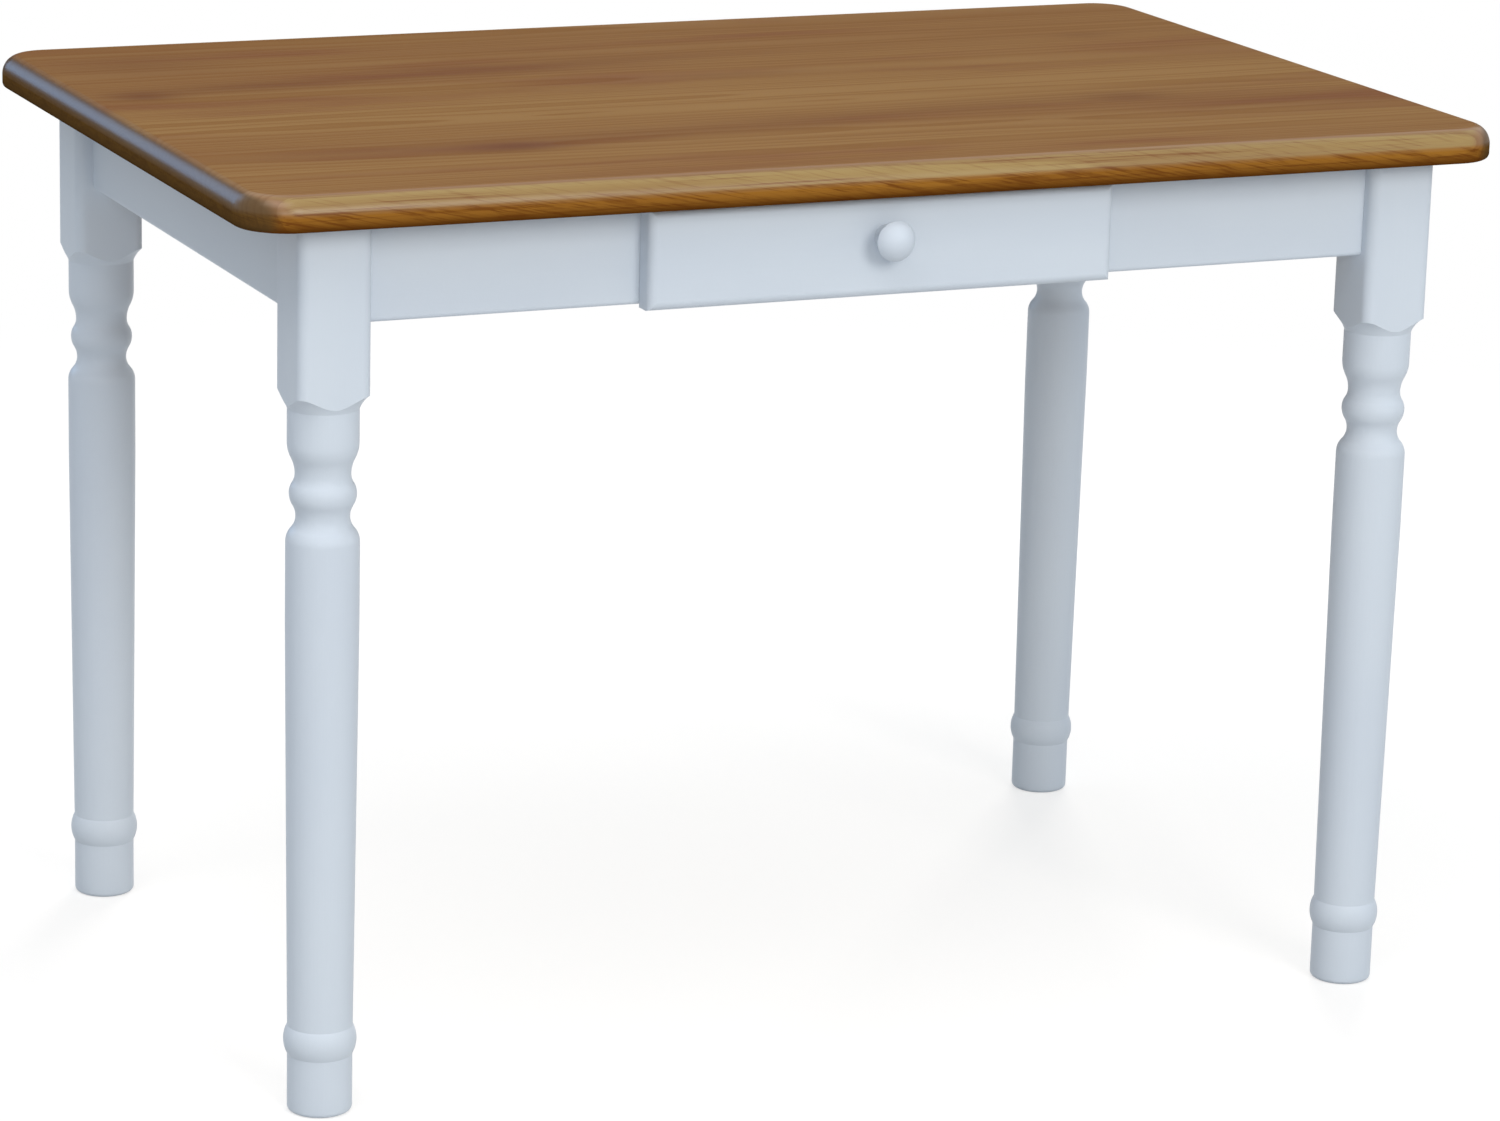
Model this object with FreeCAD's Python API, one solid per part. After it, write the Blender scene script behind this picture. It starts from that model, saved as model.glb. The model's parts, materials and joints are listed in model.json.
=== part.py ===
import FreeCAD, Part
import math
import os

# Kitchen table with four turned legs and one drawer, in millimetres.
# X runs along the table, Y from the drawer side to the back, Z up from the floor.

V = FreeCAD.Vector
ORIGIN = V(0, 0, 0)
X_AXIS = V(1, 0, 0)
Y_AXIS = V(0, 1, 0)
Z_AXIS = V(0, 0, 1)
ROOT_2 = math.sqrt(2)
FULL_TURN = 360

# Top: boards glued edge to edge
table_height = 755.0
top_length = 1100.0
top_width = 700.0
top_thickness = 28.0
top_corner_radius = 42.0
top_upper_round = 16.0
top_lower_round = 4.5
top_board_count = 7

# Leg blocks and their place under the top
leg_block_width = 60.0
leg_block_round = 9.0
leg_end_overhang = 50.0
leg_side_overhang = 30.0

# Leg turning: lengths counted down from the underside of the top
block_length = 135.0
shoulder_height = 15.0
collar_length = 27.0
cup_length = 25.5
bead_upper_length = 15.5
bead_lower_length = 18.5
shaft_shoulder_length = 20.5
shaft_straight_length = 66.0

# Leg turning: lengths counted up from the floor
foot_height = 48.0
ring_height = 24.0
foot_edge_round = 4.0

# Leg turning: radii, and the hollow of the shoulder as shares of its reach and height
collar_radius = 28.2
upper_neck_radius = 22.0
bead_radius = 26.5
lower_neck_radius = 21.3
shaft_radius = 29.1
shaft_foot_radius = 26.2
ring_radius = 29.3
foot_radius = 26.1
shoulder_hollow_shares = (0.40, 0.60)

# Aprons between the legs
apron_height = 82.0
apron_thickness = 20.0
apron_setback = 14.0
apron_lower_round = 4.0

# Wood screws, and the play around small hardware
screw_radius = 2.0
screw_bite = 13.0
screw_head_radius = 4.0
screw_head_height = 2.6
drill_play = 0.05
head_play = 0.75
tip_play = 0.5

# Corner blocks, and the hanger bolts through them into the legs
corner_block_gap = 3.0
corner_block_thickness = 26.0
corner_block_inset = 12.0
corner_screw_grip = 10.0
corner_screw_inset = 12.0
bolt_radius = 4.0
bolt_depth_in_leg = 30.0
bolt_past_nut = 5.0
washer_radius = 9.0
washer_thickness = 1.6
nut_sides = 6
nut_width = 13.0
nut_thickness = 6.5

# Angle brackets between the aprons and the top
bracket_leg = 30.0
bracket_width = 18.0
bracket_thickness = 2.0
bracket_hole_share = 0.62

# Drawer guides with a runner batten below and a kicker batten above
guide_thickness = 18.0
guide_lift = 6.0
runner_width = 16.0
runner_height = 12.0
kicker_height = 13.0
batten_screw_count = 3
batten_head_depth = 4.0
guide_dowel_radius = 4.0
guide_dowel_length = 30.0
guide_dowel_in_apron = 12.0
guide_dowel_inset = 18.0

# Drawer front
drawer_centre_x = -10.0
drawer_front_width = 408.0
drawer_front_thickness = 20.0
drawer_front_round = 7.0
drawer_front_top_gap = 3.0
drawer_front_drop = 2.0
drawer_front_seat_gap = 0.3
drawer_overlay = 14.0

# Drawer box
drawer_wall = 12.0
drawer_side_gap = 2.0
drawer_runner_gap = 0.3
drawer_kicker_gap = 1.7
drawer_rear_space = 170.0
drawer_panel_thickness = 4.0
drawer_groove_depth = 6.0
drawer_groove_rise = 6.0
drawer_groove_play = 0.15
drawer_dowel_radius = 3.0
drawer_dowel_length = 26.0
drawer_dowel_cover = 2.0
drawer_dowel_spacing_share = 0.5
front_screw_inset = 26.0
front_screw_spacing_share = 0.46

# Knob, turned about an axis square to the drawer front
knob_rise = 8.0
knob_radius = 16.5
knob_projection = 29.0
knob_rim_height = 19.0
knob_neck_height = 12.5
knob_neck_radius = 8.0
knob_base_radius = 10.5
knob_screw_depth = 16.0
knob_rim_shares = (0.80, 0.42)

# One overrun for every cut that runs out of a piece
cut_overrun = 1.0

# Places of the legs and aprons
underside_z = table_height - top_thickness
leg_half = leg_block_width / 2
leg_x = top_length / 2 - leg_end_overhang - leg_half
leg_y = top_width / 2 - leg_side_overhang - leg_half
leg_inner_x = leg_x - leg_half
leg_inner_y = leg_y - leg_half
leg_corner_reach = leg_half * ROOT_2 - leg_block_round * (ROOT_2 - 1)
apron_outer_x = leg_x + leg_half - apron_setback
apron_outer_y = leg_y + leg_half - apron_setback
apron_inner_x = apron_outer_x - apron_thickness
apron_inner_y = apron_outer_y - apron_thickness
apron_bottom_z = underside_z - apron_height
apron_middle_z = underside_z - apron_height / 2
corners = {
    "front_left": (-1, -1),
    "front_right": (1, -1),
    "back_left": (-1, 1),
    "back_right": (1, 1),
}

# Places of a corner block, counted inwards from its leg's axis
apron_inset = apron_setback + apron_thickness - leg_half
block_near = leg_corner_reach + corner_block_gap
block_far = block_near + corner_block_thickness
block_contact_middle = (block_near + block_far) / ROOT_2 - apron_inset
corner_block_height = apron_height - corner_block_inset * 2
corner_screw_rise = corner_block_height / 2 - corner_screw_inset

# Places of the drawer and of what carries it
opening_half = drawer_front_width / 2 - drawer_overlay
opening_left_x = drawer_centre_x - opening_half
opening_right_x = drawer_centre_x + opening_half
guide_height = apron_height - guide_lift
guide_bottom_z = underside_z - guide_height
runner_top_z = guide_bottom_z + runner_height
kicker_bottom_z = underside_z - kicker_height
drawer_seat_y = -apron_outer_y - drawer_front_seat_gap
drawer_face_y = drawer_seat_y - drawer_front_thickness
drawer_inside_y = drawer_seat_y + drawer_wall
drawer_back_y = apron_inner_y - drawer_rear_space
drawer_half = opening_half - drawer_side_gap
drawer_inner_half = drawer_half - drawer_wall
drawer_bottom_z = runner_top_z + drawer_runner_gap
drawer_top_z = kicker_bottom_z - drawer_kicker_gap
panel_bottom_z = drawer_bottom_z + drawer_groove_rise
panel_top_z = panel_bottom_z + drawer_panel_thickness
tray_depth = drawer_top_z - panel_top_z
tray_middle_z = panel_top_z + tray_depth / 2
front_bottom_z = apron_bottom_z - drawer_front_drop
front_top_z = underside_z - drawer_front_top_gap
knob_z = (front_bottom_z + front_top_z) / 2 + knob_rise
sides = {"left": -1, "right": 1}

# The origin lies on the floor under the middle of the whole, knob included
front_reach = max(top_width / 2, knob_projection - drawer_face_y)
middle_y = (top_width / 2 - front_reach) / 2


# Shapes


def box(low, high):
    """Box between two opposite corners."""
    size = high - low
    return Part.makeBox(size.x, size.y, size.z, low)


def rod(start, direction, length, radius):
    """Round bar from a point along a direction."""
    return Part.makeCylinder(radius, length, start, direction)


def lines(*points):
    """Straight edges from point to point."""
    return [Part.makeLine(a, b) for a, b in zip(points, points[1:])]


def arc(start, through, end):
    """Arc through three points."""
    return Part.Arc(start, through, end).toShape()


def face(edges):
    """Flat face inside closed edges."""
    return Part.Face(Part.Wire(edges))


def turned(edges):
    """Solid turned about the Z axis from a profile in X and Z."""
    return face(edges).revolve(ORIGIN, Z_AXIS, FULL_TURN)


def placed(shape, base, direction):
    """Shape made along Z, set at a point along a direction."""
    moved = shape.copy()
    moved.Placement = FreeCAD.Placement(base, FreeCAD.Rotation(Z_AXIS, direction))
    return moved


def softened(shape, radius, chosen):
    """Shape with a fillet on the edges that pass a test of their bounds."""
    return shape.makeFillet(radius, [edge for edge in shape.Edges if chosen(edge.BoundBox)])


def bored(shape, sockets):
    """Shape with every socket cut that reaches it."""
    near = [socket for socket in sockets if shape.BoundBox.intersect(socket.BoundBox)]
    return shape.cut(near) if near else shape


def save(name, *solids):
    """One file for one node, with the origin under the middle of the table."""
    shape = solids[0].copy() if len(solids) == 1 else Part.makeCompound(solids)
    shape.translate(Y_AXIS * -middle_y)
    shape.exportStep("parts/" + name + ".step")


# Screws, bolts and dowels, each with the socket it sits in


def wood_screw(seat, direction, length):
    """Pan-head screw whose head bears on its seat."""
    crown = V(0, 0, -screw_head_height)
    rim = V(screw_head_radius, 0, 0)
    neck = V(screw_radius, 0, 0)
    taper = V(screw_radius, 0, length - screw_radius)
    tip = V(0, 0, length)
    return placed(turned(lines(crown, rim + crown, rim, neck, taper, tip, crown)), seat, direction)


def screw_socket(seat, direction, length, recess):
    """Hole for a screw, with a recess of the given depth for its head."""
    start = seat - direction * cut_overrun
    hole = rod(start, direction, cut_overrun + length + tip_play, screw_radius + drill_play)
    if not recess:
        return hole
    return hole.fuse(rod(seat, -direction, recess, screw_head_radius + head_play))


def dowel(middle, axis, length, radius):
    """Round pin centred on a point."""
    return rod(middle - axis * (length / 2), axis, length, radius)


def dowel_socket(middle, axis, length, radius):
    """Hole for a dowel, with play around it and at its ends."""
    return dowel(middle, axis, length + tip_play * 2, radius + drill_play)


def corner_screw_places():
    """Seat and direction of each screw from a corner block into an apron."""
    places = []
    for sx, sy in corners.values():
        for rise in (-corner_screw_rise, corner_screw_rise):
            seat_in = apron_inset + corner_screw_grip
            z = apron_middle_z + rise
            to_long = V(sx * (leg_x - block_contact_middle), sy * (leg_y - seat_in), z)
            to_end = V(sx * (leg_x - seat_in), sy * (leg_y - block_contact_middle), z)
            places.append((to_long, Y_AXIS * sy))
            places.append((to_end, X_AXIS * sx))
    return places


def bracket_places():
    """Corner under the top, inward direction and run of each angle bracket."""
    block_end_x = leg_x - (block_far * ROOT_2 - apron_inset)
    left_x = (opening_left_x - guide_thickness - block_end_x) / 2
    right_x = (opening_right_x + guide_thickness + block_end_x) / 2
    places = []
    for x in (left_x, right_x):
        for sy in (-1, 1):
            places.append((V(x, sy * apron_inner_y, underside_z), Y_AXIS * -sy, X_AXIS))
    for sx in (-1, 1):
        places.append((V(sx * apron_inner_x, 0, underside_z), X_AXIS * -sx, Y_AXIS))
    return places


def bracket_screw_places():
    """Seat and direction of each bracket screw: one into the apron, one into the top."""
    reach = bracket_leg * bracket_hole_share
    places = []
    for corner, inward, run in bracket_places():
        places.append((corner + inward * bracket_thickness - Z_AXIS * reach, -inward))
        places.append((corner + inward * reach - Z_AXIS * bracket_thickness, Z_AXIS))
    return places


def batten_screw_places():
    """Seat and direction of each screw from a runner or kicker into its guide."""
    step = apron_inner_y * 2 / batten_screw_count
    heights = (guide_bottom_z + runner_height / 2, underside_z - kicker_height / 2)
    places = []
    for sign in sides.values():
        seat_x = drawer_centre_x + sign * (opening_half - runner_width + batten_head_depth)
        for index in range(batten_screw_count):
            for z in heights:
                y = -apron_inner_y + step / 2 + step * index
                places.append((V(seat_x, y, z), X_AXIS * sign))
    return places


def guide_dowel_places():
    """Middle of each dowel between a guide's end and an apron."""
    heights = (guide_bottom_z + guide_dowel_inset, underside_z - guide_dowel_inset)
    from_middle = apron_inner_y + guide_dowel_in_apron - guide_dowel_length / 2
    places = []
    for sign in sides.values():
        x = drawer_centre_x + sign * (opening_half + guide_thickness / 2)
        for sy in (-1, 1):
            for z in heights:
                places.append(V(x, sy * from_middle, z))
    return places


def drawer_dowel_places():
    """Middle of each dowel between a drawer side and the inner front or the back."""
    from_middle = drawer_half - drawer_dowel_cover - drawer_dowel_length / 2
    rise = tray_depth * drawer_dowel_spacing_share / 2
    places = []
    for sign in sides.values():
        for y in (drawer_seat_y + drawer_wall / 2, drawer_back_y - drawer_wall / 2):
            for z in (tray_middle_z - rise, tray_middle_z + rise):
                places.append(V(drawer_centre_x + sign * from_middle, y, z))
    return places


def front_screw_places():
    """Seat of each screw that holds the drawer front to its box."""
    from_middle = drawer_inner_half - front_screw_inset
    rise = tray_depth * front_screw_spacing_share / 2
    places = []
    for x in (drawer_centre_x - from_middle, drawer_centre_x + from_middle):
        for z in (tray_middle_z - rise, tray_middle_z + rise):
            places.append(V(x, drawer_inside_y, z))
    return places


def inward_diagonal(sx, sy):
    """Level direction from a leg towards the middle of the table."""
    return V(-sx, -sy, 0).normalize()


def leg_axis(sx, sy, z):
    """Point on a leg's axis."""
    return V(sx * leg_x, sy * leg_y, z)


# Top


def make_top():
    """Boards cut side by side from one slab with rounded corners and edges."""
    low = V(-top_length / 2, -top_width / 2, underside_z)
    slab = box(low, V(top_length / 2, top_width / 2, table_height))
    half_z = table_height - top_thickness / 2
    slab = softened(slab, top_corner_radius, lambda b: b.ZMin < half_z < b.ZMax)
    slab = softened(slab, top_lower_round, lambda b: b.ZMax < half_z)
    slab = softened(slab, top_upper_round, lambda b: b.ZMin > half_z)
    board_width = top_width / top_board_count
    for index in range(top_board_count):
        start = low + Y_AXIS * (board_width * index)
        board = slab.common(box(start, start + V(top_length, board_width, top_thickness)))
        save("top_board_" + str(index + 1), bored(board, frame_sockets))


# Legs


def ogee(start, end):
    """Two equal arcs, both upright at their outer ends, that meet halfway."""
    chord = end - start
    middle = start + chord / 2
    lean = math.atan2(abs(chord.x), abs(chord.z))
    bulge = chord.Length / 4 * math.tan(lean / 2)
    side = V(-chord.z, 0, chord.x).normalize() * math.copysign(bulge, chord.x)
    first = arc(start, (start + middle) / 2 + side, middle)
    second = arc(middle, (middle + end) / 2 - side, end)
    return [first, second]


def leg_turning():
    """Turned form of a leg, open to the block's corners above the shoulder."""
    wide = leg_half * ROOT_2
    shoulder = V(wide, 0, underside_z - block_length)
    collar = V(collar_radius, 0, shoulder.z - shoulder_height)
    cup = V(collar_radius, 0, collar.z - collar_length)
    upper_neck = V(upper_neck_radius, 0, cup.z - cup_length)
    bead = V(bead_radius, 0, upper_neck.z - bead_upper_length)
    lower_neck = V(lower_neck_radius, 0, bead.z - bead_lower_length)
    shaft = V(shaft_radius, 0, lower_neck.z - shaft_shoulder_length)
    taper = V(shaft_radius, 0, shaft.z - shaft_straight_length)
    ring_top = V(shaft_foot_radius, 0, foot_height + ring_height)
    ring_crest = V(ring_radius, 0, foot_height + ring_height / 2)
    ring_bottom = V(foot_radius, 0, foot_height)
    foot_side = V(foot_radius, 0, foot_edge_round)
    foot_sole = V(foot_radius - foot_edge_round, 0, 0)
    edge_inset = foot_edge_round * (1 - 1 / ROOT_2)
    foot_edge = V(foot_radius - edge_inset, 0, edge_inset)
    out_share, up_share = shoulder_hollow_shares
    hollow = V(collar.x + (wide - collar.x) * out_share, 0, collar.z + shoulder_height * up_share)

    edges = lines(ORIGIN, foot_sole)
    edges += [arc(foot_sole, foot_edge, foot_side)]
    edges += lines(foot_side, ring_bottom)
    edges += [arc(ring_bottom, ring_crest, ring_top)]
    edges += lines(ring_top, taper, shaft)
    edges += ogee(shaft, lower_neck)
    edges += ogee(lower_neck, bead)
    edges += ogee(bead, upper_neck)
    edges += ogee(upper_neck, cup)
    edges += lines(cup, collar)
    edges += [arc(collar, hollow, shoulder)]
    edges += lines(shoulder, V(wide, 0, underside_z), V(0, 0, underside_z), ORIGIN)
    return turned(edges)


def make_legs():
    """Square blanks with rounded edges, turned below the block."""
    blank = box(V(-leg_half, -leg_half, 0), V(leg_half, leg_half, underside_z))
    blank = softened(blank, leg_block_round, lambda b: b.ZLength > underside_z / 2)
    leg = blank.common(leg_turning())
    for name, (sx, sy) in corners.items():
        standing = leg.copy()
        standing.translate(leg_axis(sx, sy, 0))
        save("leg_" + name, bored(standing, frame_sockets))


# Aprons


def apron(x1, x2, y1, y2):
    """Board between two legs, with its two lower long edges rounded."""
    board = box(V(x1, y1, apron_bottom_z), V(x2, y2, underside_z))
    along_x = x2 - x1 > y2 - y1

    def lower_long_edge(bounds):
        return bounds.ZMax < apron_middle_z and along_x == (bounds.XLength > bounds.YLength)

    return softened(board, apron_lower_round, lower_long_edge)


def make_aprons():
    """Boards between the legs; the front one is in two, with the drawer between."""
    front = (-apron_outer_y, -apron_inner_y)
    ends = (-leg_inner_y, leg_inner_y)
    boards = {
        "apron_front_left": apron(-leg_inner_x, opening_left_x, *front),
        "apron_front_right": apron(opening_right_x, leg_inner_x, *front),
        "apron_back": apron(-leg_inner_x, leg_inner_x, apron_inner_y, apron_outer_y),
        "apron_left": apron(-apron_outer_x, -apron_inner_x, *ends),
        "apron_right": apron(apron_inner_x, apron_outer_x, *ends),
    }
    for name, board in boards.items():
        save(name, bored(board, frame_sockets))


# Corner blocks and hanger bolts


def bolt_blank(sx, sy, radius, play):
    """Bar along a hanger bolt, from inside the leg to just past the nut."""
    inward = inward_diagonal(sx, sy)
    start = leg_corner_reach - bolt_depth_in_leg - play
    end = block_far + washer_thickness + nut_thickness + bolt_past_nut
    return rod(leg_axis(sx, sy, apron_middle_z) + inward * start, inward, end - start, radius)


def nut_blank():
    """Six-sided prism that stands on the origin."""
    side_angle = math.radians(FULL_TURN / nut_sides)
    reach = nut_width / 2 / math.cos(side_angle / 2)
    angles = [side_angle * index for index in range(nut_sides)]
    points = [V(reach * math.cos(a), reach * math.sin(a), 0) for a in angles]
    return face(lines(*points, points[0])).extrude(Z_AXIS * nut_thickness)


def make_corner_blocks():
    """Mitred blocks across the corners, clear of the legs, with a bolt through each."""
    bolts = []
    washers = []
    nuts = []
    for name, (sx, sy) in corners.items():
        near = block_near * ROOT_2 - apron_inset
        far = block_far * ROOT_2 - apron_inset
        outline = ((apron_inset, near), (near, apron_inset), (far, apron_inset), (apron_inset, far))
        bottom = leg_axis(sx, sy, apron_middle_z - corner_block_height / 2)
        points = [bottom - V(sx * u, sy * v, 0) for u, v in outline]
        block = face(lines(*points, points[0])).extrude(Z_AXIS * corner_block_height)
        save("corner_block_" + name, bored(block, frame_sockets))

        inward = inward_diagonal(sx, sy)
        axis = leg_axis(sx, sy, apron_middle_z)
        washer_at = axis + inward * block_far
        nut_at = washer_at + inward * washer_thickness
        hole = bolt_blank(sx, sy, bolt_radius + drill_play, 0)
        bolts.append(bolt_blank(sx, sy, bolt_radius, 0))
        washers.append(rod(washer_at, inward, washer_thickness, washer_radius).cut(hole))
        nuts.append(placed(nut_blank(), nut_at, inward).cut(hole))
    save("hanger_bolts", *bolts)
    save("hanger_washers", *washers)
    save("hanger_nuts", *nuts)


# Angle brackets


def make_brackets():
    """Bent steel plates, one leg on an apron and one under the top."""
    brackets = []
    for corner, inward, run in bracket_places():
        outline = (
            (0, 0),
            (bracket_leg, 0),
            (bracket_leg, bracket_thickness),
            (bracket_thickness, bracket_thickness),
            (bracket_thickness, bracket_leg),
            (0, bracket_leg),
        )
        start = corner - run * (bracket_width / 2)
        points = [start + inward * out - Z_AXIS * down for out, down in outline]
        plate = face(lines(*points, points[0])).extrude(run * bracket_width)
        brackets.append(bored(plate, frame_sockets))
    save("top_brackets", *brackets)


# Drawer guides, runners and kickers


def make_drawer_carcass():
    """A guide board beside each drawer side, with a batten below and a batten above it."""
    for side, sign in sides.items():
        inner = drawer_centre_x + sign * opening_half
        outer = inner + sign * guide_thickness
        shelf = inner - sign * runner_width
        spans = {
            "drawer_guide_": (inner, outer, guide_bottom_z, underside_z),
            "drawer_runner_": (inner, shelf, guide_bottom_z, runner_top_z),
            "drawer_kicker_": (inner, shelf, kicker_bottom_z, underside_z),
        }
        for name, (x1, x2, z1, z2) in spans.items():
            bar = box(V(min(x1, x2), -apron_inner_y, z1), V(max(x1, x2), apron_inner_y, z2))
            save(name + side, bored(bar, frame_sockets))


# Drawer


def groove():
    """Space of the bottom panel with its play, cut from the four walls around it."""
    play = V(drawer_groove_play, drawer_groove_play, drawer_groove_play)
    low, high = panel_corners()
    return box(low - play, high + play)


def panel_corners():
    """Opposite corners of the drawer's bottom panel."""
    half = drawer_inner_half + drawer_groove_depth - drawer_groove_play
    front_y = drawer_inside_y - drawer_groove_depth + drawer_groove_play
    back_y = drawer_back_y - drawer_wall + drawer_groove_depth - drawer_groove_play
    low = V(drawer_centre_x - half, front_y, panel_bottom_z)
    return low, V(drawer_centre_x + half, back_y, panel_top_z)


def make_drawer():
    """Overlay front on a dowelled box with a bottom panel in grooves."""
    low = V(drawer_centre_x - drawer_front_width / 2, drawer_face_y, front_bottom_z)
    high = V(drawer_centre_x + drawer_front_width / 2, drawer_seat_y, front_top_z)
    front = softened(box(low, high), drawer_front_round, lambda b: b.YMax < drawer_seat_y)
    save("drawer_front", bored(front, drawer_sockets))

    walls = {}
    for side, sign in sides.items():
        x1 = drawer_centre_x + sign * drawer_inner_half
        x2 = drawer_centre_x + sign * drawer_half
        walls["drawer_side_" + side] = (min(x1, x2), max(x1, x2), drawer_seat_y, drawer_back_y)
    left_x = drawer_centre_x - drawer_inner_half
    right_x = drawer_centre_x + drawer_inner_half
    walls["drawer_box_front"] = (left_x, right_x, drawer_seat_y, drawer_inside_y)
    walls["drawer_back"] = (left_x, right_x, drawer_back_y - drawer_wall, drawer_back_y)
    for name, (x1, x2, y1, y2) in walls.items():
        wall = box(V(x1, y1, drawer_bottom_z), V(x2, y2, drawer_top_z))
        save(name, bored(wall.cut(groove()), drawer_sockets))
    save("drawer_bottom", box(*panel_corners()))


def make_knob():
    """Mushroom knob with a waisted neck."""
    base = V(knob_base_radius, 0, 0)
    neck = V(knob_neck_radius, 0, knob_neck_height)
    waist = V(knob_neck_radius, 0, knob_neck_height / 2)
    rim = V(knob_radius, 0, knob_rim_height)
    crown = V(0, 0, knob_projection)
    out_share, up_share = knob_rim_shares
    under = neck + V((rim.x - neck.x) * out_share, 0, (rim.z - neck.z) * up_share)
    dome_height = crown.z - rim.z
    dome_radius = (rim.x * rim.x + dome_height * dome_height) / (dome_height * 2)
    lean = math.asin(rim.x / dome_radius) / 2
    dome = V(dome_radius * math.sin(lean), 0, crown.z - dome_radius * (1 - math.cos(lean)))
    edges = lines(ORIGIN, base)
    edges += [arc(base, waist, neck), arc(neck, under, rim), arc(rim, dome, crown)]
    edges += lines(crown, ORIGIN)
    knob = placed(turned(edges), V(drawer_centre_x, drawer_face_y, knob_z), -Y_AXIS)
    save("drawer_knob", bored(knob, drawer_sockets))


# Hardware lists: what each screw or dowel is, and the sockets that hold them

corner_screw_length = corner_screw_grip + screw_bite
bracket_screw_length = bracket_thickness + screw_bite
batten_screw_length = runner_width - batten_head_depth + screw_bite
front_screw_length = drawer_wall + screw_bite
knob_screw_length = drawer_wall + drawer_front_thickness + knob_screw_depth
batten_recess = batten_head_depth + cut_overrun
knob_screw_seat = V(drawer_centre_x, drawer_inside_y, knob_z)

bolt_hole_radius = bolt_radius + drill_play
frame_sockets = [bolt_blank(*signs, bolt_hole_radius, tip_play) for signs in corners.values()]
for place in corner_screw_places():
    frame_sockets.append(screw_socket(*place, corner_screw_length, corner_block_thickness))
for place in bracket_screw_places():
    frame_sockets.append(screw_socket(*place, bracket_screw_length, 0))
for place in batten_screw_places():
    frame_sockets.append(screw_socket(*place, batten_screw_length, batten_recess))
for place in guide_dowel_places():
    frame_sockets.append(dowel_socket(place, Y_AXIS, guide_dowel_length, guide_dowel_radius))

drawer_sockets = [screw_socket(knob_screw_seat, -Y_AXIS, knob_screw_length, 0)]
for place in front_screw_places():
    drawer_sockets.append(screw_socket(place, -Y_AXIS, front_screw_length, 0))
for place in drawer_dowel_places():
    drawer_sockets.append(dowel_socket(place, X_AXIS, drawer_dowel_length, drawer_dowel_radius))


def make_hardware():
    """Screws and dowels, one node for each kind."""
    save("corner_block_screws", *[wood_screw(*p, corner_screw_length) for p in corner_screw_places()])
    save("bracket_screws", *[wood_screw(*p, bracket_screw_length) for p in bracket_screw_places()])
    save("batten_screws", *[wood_screw(*p, batten_screw_length) for p in batten_screw_places()])
    save("drawer_front_screws", *[wood_screw(p, -Y_AXIS, front_screw_length) for p in front_screw_places()])
    save("knob_screw", wood_screw(knob_screw_seat, -Y_AXIS, knob_screw_length))
    pins = [dowel(p, Y_AXIS, guide_dowel_length, guide_dowel_radius) for p in guide_dowel_places()]
    save("guide_dowels", *pins)
    pins = [dowel(p, X_AXIS, drawer_dowel_length, drawer_dowel_radius) for p in drawer_dowel_places()]
    save("drawer_dowels", *pins)


os.makedirs("parts", exist_ok=True)
make_top()
make_legs()
make_aprons()
make_corner_blocks()
make_brackets()
make_drawer_carcass()
make_drawer()
make_knob()
make_hardware()
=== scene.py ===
import json
import math
import random

import bmesh
import bpy
import numpy
from mathutils import Matrix, Vector


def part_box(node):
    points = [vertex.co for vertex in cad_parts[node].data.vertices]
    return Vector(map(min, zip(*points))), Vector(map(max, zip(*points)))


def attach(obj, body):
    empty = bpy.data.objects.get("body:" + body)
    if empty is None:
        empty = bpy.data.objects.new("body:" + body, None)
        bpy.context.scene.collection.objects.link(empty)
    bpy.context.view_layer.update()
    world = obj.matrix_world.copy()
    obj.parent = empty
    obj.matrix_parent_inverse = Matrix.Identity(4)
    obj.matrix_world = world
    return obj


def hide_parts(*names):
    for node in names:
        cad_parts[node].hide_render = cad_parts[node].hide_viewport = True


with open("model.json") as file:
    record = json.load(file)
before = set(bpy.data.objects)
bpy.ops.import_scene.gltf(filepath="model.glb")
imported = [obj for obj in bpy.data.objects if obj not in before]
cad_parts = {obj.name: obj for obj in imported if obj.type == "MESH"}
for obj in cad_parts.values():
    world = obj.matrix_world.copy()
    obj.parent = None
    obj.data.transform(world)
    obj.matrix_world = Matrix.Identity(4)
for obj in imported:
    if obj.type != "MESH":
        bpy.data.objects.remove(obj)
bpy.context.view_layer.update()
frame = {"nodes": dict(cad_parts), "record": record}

# Kitchen table: a stained pine top on a white lacquered base, with a bare pine drawer.
# Lengths are in metres, in the frame of the solids: X along the table, Z up from the floor.

node_slots = {name: piece.material_slots[0].material.name for name, piece in frame["nodes"].items()}
body_nodes = frame["record"]["behaviour"]["bodies"]
body_of_node = {node: body for body, nodes in body_nodes.items() for node in nodes}

# Camera
camera_place = Vector((-1.7939, -4.0298, 1.5276))
camera_aim = Vector((0.0244, -0.001, 0.3389))
camera_roll = math.radians(1.58)
camera_lens = 126.3

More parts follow.
